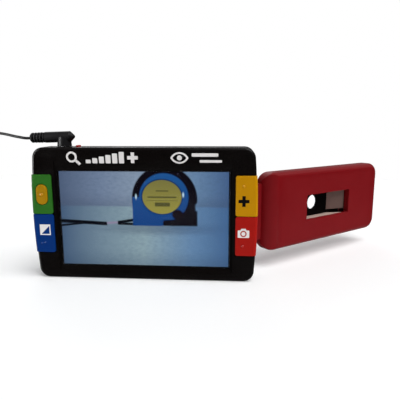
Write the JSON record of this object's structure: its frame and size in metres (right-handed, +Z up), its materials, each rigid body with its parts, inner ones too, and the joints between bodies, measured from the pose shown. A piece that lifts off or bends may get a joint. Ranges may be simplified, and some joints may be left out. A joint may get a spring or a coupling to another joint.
{
  "type": "handheld video magnifier",
  "caption": "Handheld electronic magnifier: flat display unit, coloured edge keys, fold-out handle with a camera window, and its charger plugged in.",
  "frame": {"origin": "centre of the display unit's lower edge, on the surface that it stands on", "axes": "+Z up, -Y out of the screen towards the reader, +X towards the hinge of the handle"},
  "size_m": [0.3567, 0.1009, 0.0832],
  "materials": {
    "gloss_black": "high gloss moulded black",
    "matt_black": "fine matt texture",
    "charger_black": "soft satin moulding",
    "handle_red": "satin red moulding",
    "key_green": "soft satin key",
    "key_blue": "soft satin key",
    "key_yellow": "soft satin key",
    "key_red": "soft satin key",
    "key_orange": "inlay on the green key",
    "clear_lens": "polished clear",
    "screen": "lit display",
    "steel": "bright",
    "circuit_board": "solder mask",
    "battery_wrap": "foil wrap",
    "frosted": "frosted diffuser",
    "cream": "satin",
    "cord_jacket": "smooth flexible jacket"
  },
  "bodies": {
    "display_unit": {"front_cover": "gloss_black", "back_cover": "matt_black", "case_screw_1": "steel", "case_screw_2": "steel", "case_screw_3": "steel", "case_screw_4": "steel", "display_window": "clear_lens", "lcd_panel": "screen", "backlight_frame": "steel", "main_board": "circuit_board", "main_processor": "matt_black", "battery_pack": "battery_wrap", "camera_module": "matt_black", "camera_lens": "gloss_black", "camera_window": "clear_lens", "light_led_1": "clear_lens", "light_led_2": "clear_lens", "charging_socket": "matt_black", "left_key_board": "circuit_board", "right_key_board": "circuit_board", "left_lower_switch": "matt_black", "left_upper_switch": "matt_black", "right_lower_switch": "matt_black", "right_upper_switch": "matt_black", "power_switch": "matt_black", "hinge_pin": "steel", "lower_friction_washer": "steel", "upper_friction_washer": "steel", "dc_plug_body": "charger_black", "dc_plug_contact": "steel", "plug_strain_relief": "charger_black", "charger_cord": "cord_jacket", "charger_cord_coil": "cord_jacket", "charger_cord_tail": "cord_jacket", "cord_tie": "charger_black", "adapter_strain_relief": "charger_black", "adapter_case": "charger_black", "adapter_face": "charger_black", "adapter_transformer": "steel", "adapter_blade_1": "steel", "adapter_blade_2": "steel"},
    "handle": {"handle_shell": "handle_red", "handle_inner_cover": "handle_red", "handle_screw_1": "steel", "handle_screw_2": "steel", "handle_screw_3": "steel", "handle_screw_4": "steel", "lens_plate": "gloss_black", "light_diffuser": "frosted", "window_floor": "cream"},
    "colour_mode_key": {"colour_mode_button": "key_green", "colour_mode_oval": "key_orange"},
    "contrast_key": {"contrast_button": "key_blue"},
    "zoom_key": {"zoom_button": "key_yellow"},
    "freeze_key": {"freeze_button": "key_red"},
    "power_key": {"power_button": "key_red"}
  },
  "joints": [
    {"name": "handle_hinge", "type": "hinge", "parent": "display_unit", "child": "handle", "pos_m": [0.058, 0.0135, 0.035], "axis": [0, 0, 1], "range_deg": [-39.6, 140.4]},
    {"name": "colour_mode_press", "type": "slide", "parent": "display_unit", "child": "colour_mode_key", "axis": [0, 1, 0], "range_m": [0, 0.0005], "stiffness_N_per_m": 600},
    {"name": "contrast_press", "type": "slide", "parent": "display_unit", "child": "contrast_key", "axis": [0, 1, 0], "range_m": [0, 0.0005], "stiffness_N_per_m": 600},
    {"name": "zoom_press", "type": "slide", "parent": "display_unit", "child": "zoom_key", "axis": [0, 1, 0], "range_m": [0, 0.0005], "stiffness_N_per_m": 600},
    {"name": "freeze_press", "type": "slide", "parent": "display_unit", "child": "freeze_key", "axis": [0, 1, 0], "range_m": [0, 0.0005], "stiffness_N_per_m": 600},
    {"name": "power_press", "type": "slide", "parent": "display_unit", "child": "power_key", "axis": [0, 0, -1], "range_m": [0, 0.0005], "stiffness_N_per_m": 600}
  ]
}
